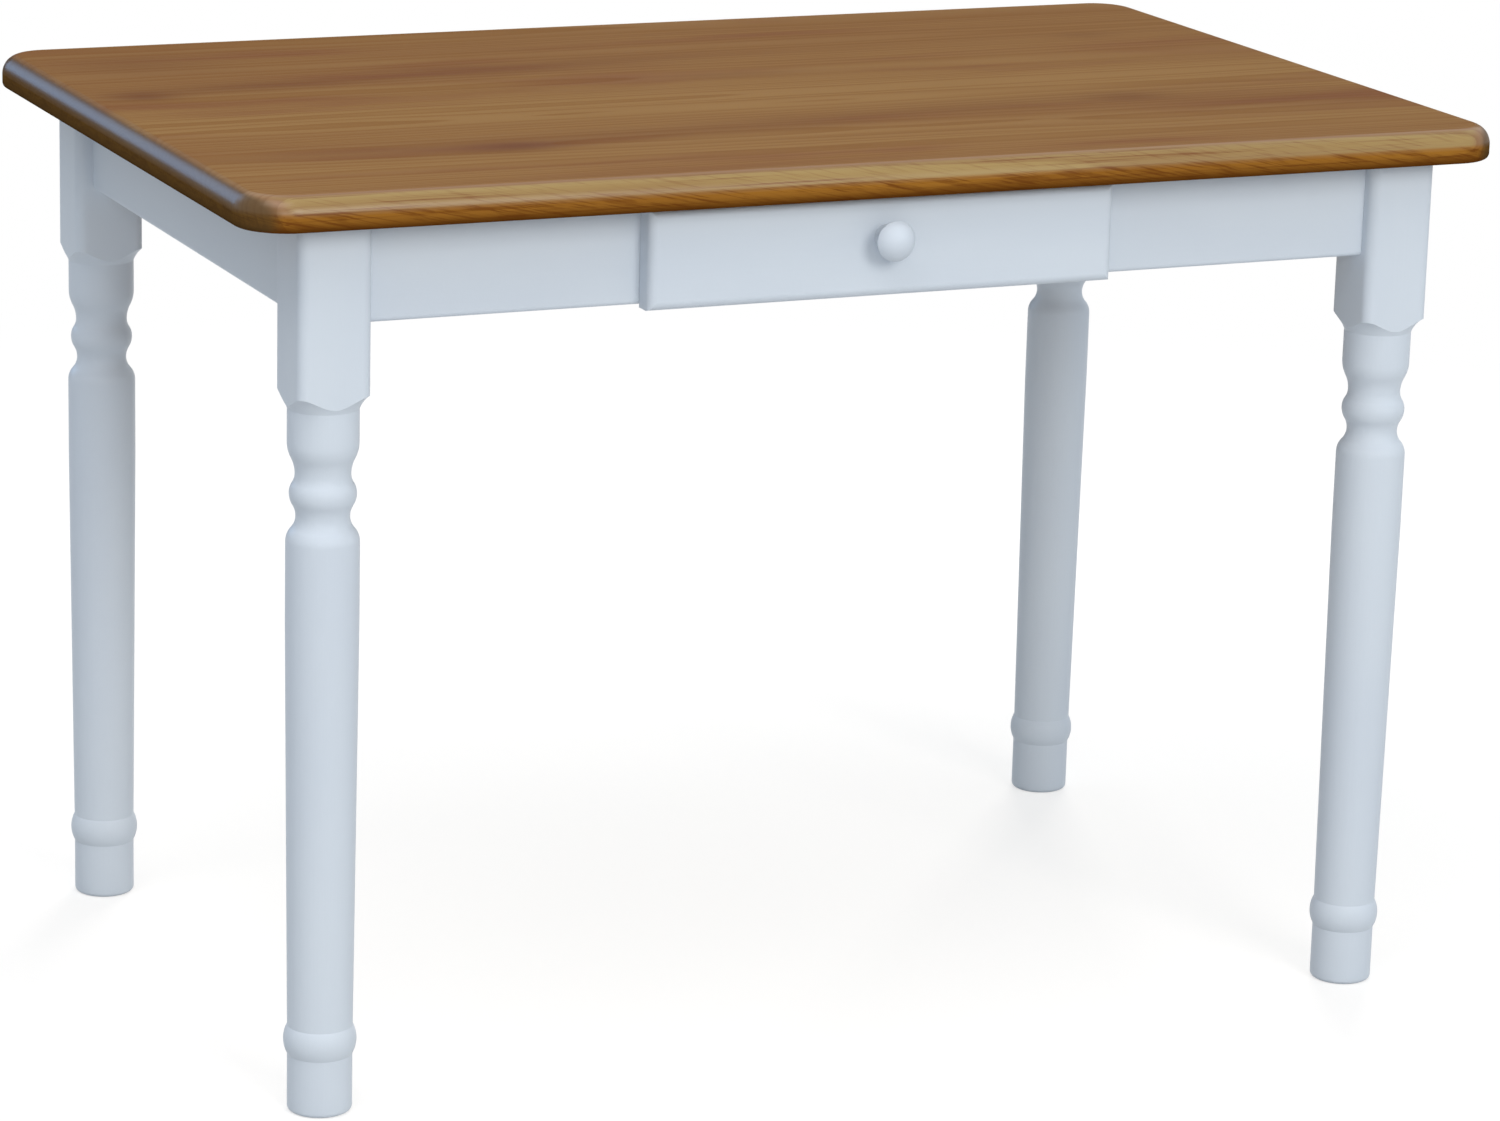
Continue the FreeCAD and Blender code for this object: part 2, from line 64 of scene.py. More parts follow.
# Studio: place, size, power and colour of each softbox, all aimed at the table.
# The gloss card shows only in the lacquer's shine, and the rear softbox only lights.
light_aim = Vector((0.0, -0.1, 0.55))
softboxes = {
    "key_softbox": ((1.1, -7.6, 4.1), (3.4, 3.6), 226, (1.0, 0.97, 0.92)),
    "fill_softbox": ((-3.0, -7.6, 2.9), (3.0, 2.4), 72, (1.0, 0.94, 0.87)),
    "front_softbox": ((0.2, -3.6, 3.15), (1.8, 2.8), 6, (0.95, 0.97, 1.0)),
    "overhead_softbox": ((-1.5, -1.0, 3.8), (2.6, 2.0), 44, (1.0, 0.96, 0.94)),
    "gloss_card": ((-2.1, 4.6, 2.2), (1.9, 2.3), 66, (0.36, 0.62, 1.0)),
    "rear_softbox": ((3.2, 5.0, 2.4), (2.6, 2.2), 210, (1.0, 0.96, 0.90)),
}
shine_only = "gloss_card"
light_only = "rear_softbox"
room_light = (0.462, 0.510, 0.562)
white = (1.0, 1.0, 1.0)

# Floor: the light it throws back, its tone and glow near the table, and where it fades to white
floor_size = 80.0
floor_colour = (0.55, 0.55, 0.55)
floor_shade = (0.474, 0.464, 0.451)
floor_glow = 0.6
floor_fade = (1.2, 2.6)

# Dark screen behind the table
screen_place = (0.9, 5.9, 0.0)
screen_size = (9.5, 4.0)
screen_colour = (0.05, 0.05, 0.05)

# Wood: its noises are counted in lumps per metre, along the grain first
noise_middle = 0.5
ring_drift_lumps = (1.4, 7.0, 7.0)
ring_step_lumps = 0.6
ring_step_spread = 1.6
late_wood_rise = (0.25, 0.9)
late_wood_fall = (0.92, 1.0)
fibre_lumps_along = 5.0

# Top: boards counted from the drawer side to the back
top_nodes = sorted(name for name in frame["nodes"] if name.startswith("top_board_"))
top_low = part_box(top_nodes[0])[0]
top_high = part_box(top_nodes[-1])[1]
board_width = (top_high.y - top_low.y) / len(top_nodes)
stain_light = (0.316, 0.176, 0.067)
stain_dark = (0.235, 0.110, 0.0445)
stain_line = (0.180, 0.062, 0.010)
stain_rosy = (0.222, 0.090, 0.046)
stain_knot = (0.150, 0.060, 0.034)
# Lighter, greener stain on the upper rounds, partly a painted sheen of the lit rounds
round_sheen_stain = (0.366, 0.260, 0.084)
stain_edge = (0.360, 0.148, 0.013)
# Painted shade: the bottom of the top's edge, over its lower round, is darkened as if in shade
painted_shade_colour = (0.090, 0.026, 0.003)
stain_end = (0.078, 0.045, 0.016)
stain_under = (0.170, 0.090, 0.040)
# Tone of the bands from the front edge to the back
band_tones = (
    (0.0, 0.4), (0.16, 0.72), (0.28, 0.4), (0.42, 0.95), (0.55, 0.45), (0.75, 0.35), (1.0, 0.5),
)
band_bend = 0.09
tone_start = 0.2
tone_shares = {"band": 0.95, "streak": 0.7, "board": 0.12}
# Each board's chance draws: where its heart lies, how its grain leans and where its figure starts
board_draw_start = 11.3
heart_aside_spread = 0.07
grain_lean_spread = 0.05
heart_depth = 0.03
heart_depth_spread = 0.06
figure_start_spread = 3.0
top_ring_width = 0.0052
top_ring_wander = 0.016
top_fibre_lumps = 420.0
top_lumps = {
    "streak": (1.5, 34.0, 34.0), "bend": (1.2, 3.0, 0.0), "cloud": (2.4, 15.0, 15.0),
    "wander": (6.0, 30.0, 0.0), "flame": (38.0, 40.0, 60.0), "thread": (26.0, 40.0, 640.0),
}
flame_slant = 140.0
thread_slant = 150.0
# Where each part of the figure, and the painted shade along the bottom of the edge, starts and
# ends, by its noise, its height or by the way the surface faces
top_steps = {
    "rosy": (0.54, 0.74), "pores": (0.52, 0.75), "edge_pores": (0.5, 0.7), "flame": (0.48, 0.62),
    "thread": (0.5, 0.66), "end_grain": (0.3, 0.62), "round_foot": (0.02, 0.3),
    "round_head": (0.86, 0.96), "round_end": (0.1, 0.35), "under": (-0.95, -0.8),
    "lower_edge_shade": (0.001, 0.012), "flat": (0.96, 0.995),
}
top_shares = {
    "rosy": 0.7, "knot": 0.78, "late": 0.36, "pores": 0.22, "edge_pores": 0.4, "flame": 0.5,
    "edge_thread": 0.6, "round_thread": 0.25, "round": 0.7, "edge": 0.8, "lower_edge_shade": 0.85,
    "end_grain": 0.8, "under": 0.85,
}
top_roughness = {"least": 0.33, "fine": 0.08, "late": 0.04}
top_relief = 0.00012
top_relief_shares = {"fine": 0.5, "late": 0.4}
# Clear lacquer: full on the rounds, thinner on the ends and rubbed down on the flat
top_coat = 0.9
top_coat_rubbed = 0.6
top_coat_end_loss = 0.5
top_coat_roughness = 0.3
# Place, half length, half width, lean and strength of the dark streaks and knots in the boards
top_streaks = (
    (-0.495, 0.095, 0.032, 0.022, 0.0, 0.8),
    (-0.400, 0.115, 0.085, 0.022, 0.05, 0.5),
    (-0.460, 0.240, 0.075, 0.045, 0.0, 0.35),
    (-0.160, 0.140, 0.190, 0.028, 0.08, 0.45),
    (0.030, 0.065, 0.080, 0.014, 0.0, 0.4),
    (-0.275, -0.200, 0.045, 0.016, 0.0, 0.65),
    (-0.320, -0.185, 0.230, 0.028, 0.05, 0.35),
    (0.100, -0.140, 0.260, 0.030, 0.13, 0.35),
    (0.310, -0.125, 0.040, 0.020, 0.0, 0.5),
    (0.420, 0.175, 0.030, 0.015, 0.0, 0.35),
    (0.420, -0.170, 0.150, 0.050, 0.0, 0.25),
)
streak_wander = 0.03

# White lacquer over pine
lacquer_pale = (0.665, 0.725, 0.790)
lacquer_dull = (0.630, 0.690, 0.765)
lacquer_grain_lumps = 260.0
lacquer_peel_lumps = (320.0, 320.0, 320.0)
lacquer_tone_lumps = (3.0, 11.0, 11.0)
lacquer_tone_step = (0.25, 0.75)
lacquer_roughness = {"least": 0.36, "tone": 0.1}
lacquer_relief = 0.00010
lacquer_relief_shares = {"grain": 0.7, "peel": 0.3}
lacquer_shine = {"Specular_IOR_Level": 0.1}

# Bare pine of the drawer and its carcass, with the reach of each board's chance draws
bare_pine_tan = (0.66, 0.46, 0.25)
bare_pine_pale = (0.74, 0.56, 0.34)
bare_pine_late = (0.48, 0.27, 0.11)
bare_heart_aside = (-0.05, 0.05)
bare_heart_depth = (0.03, 0.08)
bare_figure_start = (0.0, 9.0)
bare_ring_width = (0.003, 0.0046)
bare_ring_wander = 0.012
bare_fibre_lumps = 500.0
bare_tone_lumps = (1.5, 16.0, 16.0)
bare_pore_step = (0.55, 0.8)
bare_shares = {"late": 0.5, "pores": 0.15, "late_relief": 0.6}
bare_roughness = {"least": 0.62, "fine": 0.16}
bare_relief = 0.0002
bare_shine = {"Specular_IOR_Level": 0.4}

# Plywood of the drawer's bottom
veneer_pale = (0.70, 0.53, 0.33)
veneer_tan = (0.60, 0.42, 0.24)
veneer_core = (0.45, 0.29, 0.15)
veneer_flow_lumps = (9.0, 1.6, 0.0)
veneer_flow_step = (0.35, 0.7)
veneer_fibre_lumps = 380.0
veneer_pore_step = (0.6, 0.8)
veneer_core_step = (0.14, 0.2)
veneer_shares = {"core": 0.6, "pores": 0.25}
veneer_roughness = {"least": 0.58, "fine": 0.12}
veneer_relief = 0.0001

# Beech of the dowels
beech_tan = (0.60, 0.39, 0.23)
beech_pale = (0.68, 0.48, 0.31)
beech_fleck = (0.36, 0.19, 0.09)
beech_fleck_lumps = (260.0, 260.0, 900.0)
beech_fleck_step = (0.62, 0.72)
beech_fleck_share = 0.5
beech_tone_lumps = (60.0, 60.0, 60.0)
beech_roughness = {"least": 0.6, "tone": 0.15}
beech_relief = 0.0001

# Zinc on the brackets, screws, bolts, nuts and washers
zinc_dull = (0.50, 0.52, 0.53)
zinc_bright = (0.70, 0.70, 0.67)
zinc_spangle_lumps = 420.0
zinc_bloom_lumps = (90.0, 90.0, 90.0)
zinc_scratch_lumps = (1500.0, 160.0, 1500.0)
zinc_spangle_share = 0.5
zinc_roughness = {"least": 0.28, "bloom": 0.18, "spangle": 0.06}
zinc_relief = 0.00003

# Turned legs and knob
crease_angle = math.radians(17)
quarter_turn = math.pi / 2
block_sides = 4
arc_rows = 9
wide_arc_rows = 18
line_rows = 7
shaft_rows = 24
corner_columns = 10
flat_columns = 7
leg_nodes = ["leg_front_left", "leg_front_right", "leg_back_left", "leg_back_right"]
leg_sizes = {
    "Block Length": 0.135, "Block Half": 0.030, "Block Round": 0.009, "Shoulder Height": 0.015,
    "Collar Length": 0.027, "Collar Radius": 0.0282, "Cup Length": 0.0255,
    "Upper Neck Radius": 0.022, "Bead Upper Length": 0.0155, "Bead Radius": 0.0265,
    "Bead Lower Length": 0.0185, "Lower Neck Radius": 0.0213, "Shaft Shoulder Length": 0.0205,
    "Shaft Radius": 0.0291, "Shaft Straight Length": 0.066, "Shaft Foot Radius": 0.0262,
    "Ring Height": 0.024, "Ring Radius": 0.0293, "Foot Height": 0.048, "Foot Radius": 0.0261,
    "Foot Round": 0.004,
}
shoulder_hollow_shares = (0.40, 0.60)
knob_steps = 72
knob_sizes = {
    "Base Radius": 0.0105, "Neck Radius": 0.008, "Neck Height": 0.0125, "Rim Radius": 0.0165,
    "Rim Height": 0.019, "Under Out Share": 0.80, "Under Up Share": 0.42,
}

# Screws, bolts, nuts, washers and dowels: their lengths and places come from the solids
weld = 1e-6
end_share = 0.1
hardware_crease = math.radians(32)
hardware_seed = 7
rows_per_pitch = 7
wood_ridge_share = 0.7
bolt_end_share = 0.82
bolt_end_crests = 4
nut_sides = 6
nut_rim_share = 0.25
slot_reach_share = 4.6
slot_depth_share = 3.4
screw_nodes = (
    "corner_block_screws", "bracket_screws", "batten_screws", "drawer_front_screws", "knob_screw",
)
screw_sizes = {
    "Steps": 16, "Crest": 0.002, "Root": 0.00135, "Pitch": 0.0018, "Point": 0.004, "Neck": 0.003,
    "Head Radius": 0.004, "Head Height": 0.0026, "Rim Height": 0.0007, "Slot Width": 0.0009,
}
bolt_sizes = {
    "Steps": 18, "Crest": 0.004, "Wood Root": 0.0029, "Wood Pitch": 0.0032, "Wood Length": 0.03,
    "Root": 0.0034, "Pitch": 0.00125, "Thread Length": 0.028, "Point": 0.005,
}
nut_sizes = {"Steps": 48, "Width": 0.013, "Bore": 0.00402, "Chamfer": 0.001}
washer_sizes = {"Steps": 48, "Radius": 0.009, "Bore": 0.00405, "Ease": 0.0003}
guide_dowel_sizes = {
    "Steps": 64, "Radius": 0.004, "Chamfer": 0.0009, "Flute Depth": 0.0004, "Flutes": 16.0,
}
drawer_dowel_sizes = {
    "Steps": 48, "Radius": 0.003, "Chamfer": 0.0007, "Flute Depth": 0.0003, "Flutes": 12.0,
}


class Wire:
    """A node's output that takes part in arithmetic: each operation adds a Math node."""

    def __init__(self, tree, socket):
        self.tree = tree
        self.socket = socket

    def out(self, name):
        """Another output of the same node."""
        return Wire(self.tree, self.socket.node.outputs[name])

    def __add__(self, other):
        return self.tree.math("ADD", self, other)

    def __radd__(self, other):
        return self.tree.math("ADD", other, self)

    def __sub__(self, other):
        return self.tree.math("SUBTRACT", self, other)

    def __rsub__(self, other):
        return self.tree.math("SUBTRACT", other, self)

    def __mul__(self, other):
        return self.tree.math("MULTIPLY", self, other)

    def __rmul__(self, other):
        return self.tree.math("MULTIPLY", other, self)

    def __truediv__(self, other):
        return self.tree.math("DIVIDE", self, other)

    def __rtruediv__(self, other):
        return self.tree.math("DIVIDE", other, self)


class Tree:
    """A node tree that is filled through one method."""

    def __init__(self, node_tree):
        self.node_tree = node_tree
        node_tree.nodes.clear()

    def node(self, kind, settings=None, sockets=None, output=0):
        """Add a node: settings first, then values or links of its sockets. Returns one output."""
        made = self.node_tree.nodes.new(kind)
        for name, value in (settings or {}).items():
            if name == "stops":
                set_stops(made.color_ramp, value)
            else:
                setattr(made, name, value)
        for key, value in (sockets or {}).items():
            links = value if isinstance(value, list) else [value]
            for link in links:
                if isinstance(link, Wire):
                    self.node_tree.links.new(link.socket, made.inputs[key])
                else:
                    made.inputs[key].default_value = link
        return Wire(self, made.outputs[output]) if made.outputs else None

    def math(self, operation, *values):
        return self.node("ShaderNodeMath", {"operation": operation}, dict(enumerate(values)))

    def place(self):
        """Object coordinates as three wires."""
        return self.parts(self.node("ShaderNodeTexCoord", output="Object"))

    def parts(self, vector):
        """A vector's three wires."""
        split = self.node("ShaderNodeSeparateXYZ", {}, {0: vector})
        return split, split.out("Y"), split.out("Z")

    def point(self, x, y, z):
        return self.node("ShaderNodeCombineXYZ", {}, {0: x, 1: y, 2: z})

    def noise(self, point, detail=2.0, roughness=0.5, distortion=0.0):
        """Noise of about one lump per unit of the point."""
        sockets = {"Vector": point, "Scale": 1.0, "Detail": detail}
        sockets.update({"Roughness": roughness, "Distortion": distortion})
        return self.node("ShaderNodeTexNoise", {}, sockets)

    def lumps(self, axes, counts, **settings):
        """Noise with so many lumps per metre along each of three axes."""
        spot = self.point(*(axis * count for axis, count in zip(axes, counts)))
        return self.noise(spot, **settings)

    def soft_step(self, value, start, end):
        """From 0 before start to 1 after end."""
        sockets = {"Value": value, "From Min": start, "From Max": end}
        return self.node("ShaderNodeMapRange", {"interpolation_type": "SMOOTHSTEP"}, sockets)

    def blend(self, share, first, second):
        """Colour between two colours."""
        sockets = {0: share, 6: opaque(first), 7: opaque(second)}
        return self.node("ShaderNodeMix", {"data_type": "RGBA"}, sockets, 2)


def opaque(colour):
    return colour if isinstance(colour, Wire) else (*colour, 1.0)


def set_stops(ramp, stops):
    """Grey stops of a ramp, as place and brightness."""
    while len(ramp.elements) < len(stops):
        ramp.elements.new(1.0)
    for element, (place, brightness) in zip(ramp.elements, stops):
        element.position = place
        element.color = (brightness, brightness, brightness, 1.0)


def new_object(name, data):
    """New object in the scene."""
    made = bpy.data.objects.new(name, data)
    bpy.context.scene.collection.objects.link(made)
    return made


def material_tree(name):
    """New material and the tree to fill."""
    material = bpy.data.materials.new(name)
    material.use_nodes = True
    return material, Tree(material.node_tree)


def finish_surface(tree, colour, roughness, height, relief, **plain):
    """One shader: colour, roughness and relief from the tree, plain values on its other sockets."""
    sockets = {"Strength": 1.0, "Distance": relief, "Height": height}
    normal = tree.node("ShaderNodeBump", {}, sockets)
    sockets = {"Base Color": colour, "Roughness": roughness, "Normal": normal}
    sockets.update({name.replace("_", " "): value for name, value in plain.items()})
    shader = tree.node("ShaderNodeBsdfPrincipled", {}, sockets)
    tree.node("ShaderNodeOutputMaterial", {}, {"Surface": shader})


# Finishes


def year_rings(tree, axes, ring_width, wander):
    """Late wood of the year rings, from 0 to 1; the last two axes start at the tree's heart."""
    across, rise = axes[1:]
    drift = tree.lumps(axes, ring_drift_lumps, detail=3.0) - noise_middle
    reach = tree.math("SQRT", across * across + rise * rise) + drift * wander
    phase = reach / ring_width
    uneven = tree.noise(tree.point(phase * ring_step_lumps, 0.0, 0.0), detail=1.0)
    share = tree.math("FRACT", phase + uneven * ring_step_spread)
    return tree.soft_step(share, *late_wood_rise) * (1 - tree.soft_step(share, *late_wood_fall))


def fibres(tree, axes, fineness):
    """Fine streaks along the grain, about 0.5 on average."""
    counts = (fibre_lumps_along, fineness, fineness)
    return tree.lumps(axes, counts, detail=4.0, roughness=0.6)


def dark_streaks(tree, x, y, z):
    """Knots and the long dark streaks beside them, from 0 to 1."""
    wander = tree.lumps((x, y, z), top_lumps["wander"], detail=3.0)
    wander = (wander - noise_middle) * streak_wander
    shade = 0.0
    for middle_x, middle_y, reach, width, lean, strength in top_streaks:
        along = (x - middle_x) / reach
        off = (y - middle_y - (x - middle_x) * lean + wander) / width
        shade = tree.math("EXPONENT", 0 - along * along - off * off) * strength + shade
    return tree.math("MINIMUM", shade, 1.0)


def stained_pine():
    """Brown stain under clear lacquer on glued boards, each with its own heart and tone, with a
    partly painted sheen on the upper rounds and painted shade along the bottom of the edge.
    """
    material, tree = material_tree("stained_pine_top")
    x, y, z = tree.place()
    shares = top_shares

    def step(value, name):
        return tree.soft_step(value, *top_steps[name])

    board = tree.math("FLOOR", (y - top_low.y) / board_width)
    settings, sockets = {"noise_dimensions": "1D"}, {"W": board + board_draw_start}
    chance = tree.node("ShaderNodeTexWhiteNoise", settings, sockets, "Color")
    draws = tree.node("ShaderNodeSeparateColor", {}, {0: chance})
    first, second, third = draws, draws.out("Green"), draws.out("Blue")
    heart_aside = (first - noise_middle) * heart_aside_spread
    lean = (third - noise_middle) * grain_lean_spread
    across = y - ((board + 0.5) * board_width + top_low.y) + heart_aside + x * lean
    rise = z - top_high.z + heart_depth + second * heart_depth_spread
    along = x + third * figure_start_spread
    late = year_rings(tree, (along, across, rise), top_ring_width, top_ring_wander)
    fine = fibres(tree, (along, y, z), top_fibre_lumps)
    streak = tree.lumps((along, y, z), top_lumps["streak"], detail=4.0, roughness=0.55)

    bend = tree.lumps((x, y, z), top_lumps["bend"]) - noise_middle
    depth_share = (y - top_low.y + bend * band_bend) / (top_high.y - top_low.y)
    band = tree.node("ShaderNodeValToRGB", {"stops": band_tones}, {0: depth_share})
    tone = band * tone_shares["band"] + streak * tone_shares["streak"] - tone_start
    tone = tone + (first - noise_middle) * tone_shares["board"]
    colour = tree.blend(tree.soft_step(tone, 0.0, 1.0), stain_dark, stain_light)
    cloud = tree.lumps((x, y, z), top_lumps["cloud"], detail=3.0)
    rosy = step(cloud, "rosy") * shares["rosy"]
    knots = dark_streaks(tree, x, y, z) * shares["knot"]

    facing = tree.parts(tree.node("ShaderNodeNewGeometry", {}, {}, "Normal"))
    turn, up = tree.math("ABSOLUTE", facing[0]), facing[2]
    end_grain = step(turn, "end_grain")
    above_edge = step(up, "round_foot")
    edge = 1 - above_edge
    upper_round = above_edge * (1 - step(up, "round_head")) * (1 - step(turn, "round_end"))
    under = 1 - step(up, "under")
    # Painted shade: darker towards the underside over the lowest part of the edge
    lower_edge_shade = 1 - tree.soft_step(z, *(top_low.z + level for level in top_steps["lower_edge_shade"]))
    flame_counts, thread_counts = top_lumps["flame"], top_lumps["thread"]
    spot = (x * flame_counts[0] + z * flame_slant, y * flame_counts[1], z * flame_counts[2])
    flame = tree.noise(tree.point(*spot), detail=5.0, roughness=0.6)
    spot = (x * thread_counts[0], y * thread_counts[1], z * thread_counts[2] + x * thread_slant)
    thread = tree.noise(tree.point(*spot), detail=3.0)

    threaded = edge * shares["edge_thread"] + upper_round * shares["round_thread"]
    edge_pores = (edge + upper_round) * shares["edge_pores"]
    lines = late * shares["late"] + step(fine, "pores") * shares["pores"]
    lines = lines + step(flame, "flame") * edge * shares["flame"]
    lines = lines + step(thread, "thread") * threaded
    lines = lines + step(fine, "edge_pores") * edge_pores
    # The upper rounds take a lighter stain that is partly painted sheen
    layers = [(rosy, stain_rosy), (knots, stain_knot), (upper_round * shares["round"], round_sheen_stain)]
    layers += [(edge * shares["edge"], stain_edge), (lines, stain_line)]
    # Painted shade along the bottom of the edge
    layers += [(lower_edge_shade * shares["lower_edge_shade"], painted_shade_colour)]
    layers += [(end_grain * shares["end_grain"], stain_end), (under * shares["under"], stain_under)]
    for share, stain in layers:
        colour = tree.blend(share, colour, stain)

    roughness = top_roughness["least"] + fine * top_roughness["fine"] + late * top_roughness["late"]
    height = fine * top_relief_shares["fine"] - late * top_relief_shares["late"]
    rubbed = step(up, "flat") * top_coat_rubbed
    coat = above_edge * (1 - end_grain * top_coat_end_loss) * (top_coat - rubbed)
    plain = {"Coat_Weight": coat, "Coat_Roughness": top_coat_roughness, "Specular_IOR_Level": 0.0}
    finish_surface(tree, colour, roughness, height, top_relief, **plain)
    return material


def white_lacquer(run):
    """White satin lacquer through which the grain shows faintly; run is the grain's axis."""
    material, tree = material_tree("white_lacquer_along_" + run)
    axes = grain_axes(tree, run)
    grain = fibres(tree, axes, lacquer_grain_lumps)
    peel = tree.lumps(axes, lacquer_peel_lumps)
    tone = tree.lumps(axes, lacquer_tone_lumps, detail=3.0)
    colour = tree.blend(tree.soft_step(tone, *lacquer_tone_step), lacquer_dull, lacquer_pale)
    roughness = lacquer_roughness["least"] + tone * lacquer_roughness["tone"]
    height = grain * lacquer_relief_shares["grain"] + peel * lacquer_relief_shares["peel"]
    finish_surface(tree, colour, roughness, height, lacquer_relief, **lacquer_shine)
    return material


def grain_axes(tree, run):
    """Object coordinates with the grain's axis first."""
    x, y, z = tree.place()
    return {"x": (x, y, z), "y": (y, z, x), "z": (z, x, y)}[run]


def bare_pine(node, run):
    """Planed pine with its heart beside the piece."""
    material, tree = material_tree("bare_pine_" + node)
    draw = random.Random(node)
    low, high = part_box(node)
    centre = (low + high) / 2
    middles = {"x": (centre.y, centre.z), "y": (centre.z, centre.x), "z": (centre.x, centre.y)}[run]
    along, across, rise = grain_axes(tree, run)
    across = across - middles[0] + draw.uniform(*bare_heart_aside)
    rise = rise - middles[1] + draw.uniform(*bare_heart_depth)
    along = along + draw.uniform(*bare_figure_start)
    axes = (along, across, rise)
    late = year_rings(tree, axes, draw.uniform(*bare_ring_width), bare_ring_wander)
    fine = fibres(tree, axes, bare_fibre_lumps)
    tone = tree.lumps(axes, bare_tone_lumps, detail=3.0)
    pores = tree.soft_step(fine, *bare_pore_step)
    lines = late * bare_shares["late"] + pores * bare_shares["pores"]
    colour = tree.blend(tone, bare_pine_tan, bare_pine_pale)
    colour = tree.blend(lines, colour, bare_pine_late)
    roughness = bare_roughness["least"] + fine * bare_roughness["fine"]
    height = fine - late * bare_shares["late_relief"]
    finish_surface(tree, colour, roughness, height, bare_relief, **bare_shine)
    return material


def plywood():
    """Pale rotary-cut veneer, with the middle ply darker on the edge."""
    material, tree = material_tree("birch_plywood")
    x, y, z = tree.place()
    low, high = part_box("drawer_bottom")
    flow = tree.lumps((x, y, z), veneer_flow_lumps, detail=4.0, distortion=0.7)
    fine = fibres(tree, (y, x, z), veneer_fibre_lumps)
    off_middle = tree.math("ABSOLUTE", (z - low.z) / (high.z - low.z) - 0.5)
    core = 1 - tree.soft_step(off_middle, *veneer_core_step)
    pores = tree.soft_step(fine, *veneer_pore_step)
    lines = core * veneer_shares["core"] + pores * veneer_shares["pores"]
    colour = tree.blend(tree.soft_step(flow, *veneer_flow_step), veneer_pale, veneer_tan)
    colour = tree.blend(lines, colour, veneer_core)
    roughness = veneer_roughness["least"] + fine * veneer_roughness["fine"]
    finish_surface(tree, colour, roughness, fine, veneer_relief, **bare_shine)
    return material


def beech():
    """Pale brown beech with short dark flecks."""
    material, tree = material_tree("beech_dowel")
    axes = tree.place()
    fleck = tree.lumps(axes, beech_fleck_lumps)
    tone = tree.lumps(axes, beech_tone_lumps)
    flecked = tree.soft_step(fleck, *beech_fleck_step) * beech_fleck_share
    colour = tree.blend(tone, beech_tan, beech_pale)
    colour = tree.blend(flecked, colour, beech_fleck)
    roughness = beech_roughness["least"] + tone * beech_roughness["tone"]
    finish_surface(tree, colour, roughness, fleck, beech_relief, **bare_shine)
    return material


def zinc_steel():
    """Zinc-plated steel with a faint spangle and a dull bloom."""
    material, tree = material_tree("zinc_plated_steel")
    axes = tree.place()
    sockets = {"Vector": tree.point(*axes), "Scale": zinc_spangle_lumps}
    cells = tree.node("ShaderNodeTexVoronoi", {}, sockets, "Color")
    spangle = tree.node("ShaderNodeSeparateColor", {}, {0: cells})
    bloom = tree.lumps(axes, zinc_bloom_lumps, detail=4.0)
    scratch = tree.lumps(axes, zinc_scratch_lumps)
    brightness = spangle * zinc_spangle_share + bloom * (1 - zinc_spangle_share)
    colour = tree.blend(brightness, zinc_dull, zinc_bright)
    roughness = zinc_roughness["least"] + bloom * zinc_roughness["bloom"]
    roughness = roughness + spangle * zinc_roughness["spangle"]
    finish_surface(tree, colour, roughness, scratch, zinc_relief, Metallic=1.0)
    return material


def make_finishes():
    """The table's finishes by material slot; lacquer has one for each run of the grain."""
    finishes = {"stained_pine": stained_pine(), "plywood": plywood(), "beech": beech()}
    finishes["zinc_steel"] = zinc_steel()
    finishes["white_lacquer"] = {run: white_lacquer(run) for run in "xyz"}
    return finishes


def dress_solids(finishes):
    """A finish on every solid; boards take the grain's run from their longest side."""
    for name, piece in frame["nodes"].items():
        slot = node_slots[name]
        if slot == "white_lacquer":
            finish = finishes[slot][longest_run(name)]
        elif slot == "bare_pine":
            finish = bare_pine(name, longest_run(name))
        else:
            finish = finishes[slot]
        for place in piece.material_slots:
            place.material = finish


def longest_run(node):
    """Axis of a piece's longest side."""
    low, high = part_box(node)
    sides = high - low
    return "xyz"[max(range(3), key=lambda axis: sides[axis])]


# Turned pieces, hardware and dowels: geometry nodes make one and set it wherever the solid stands


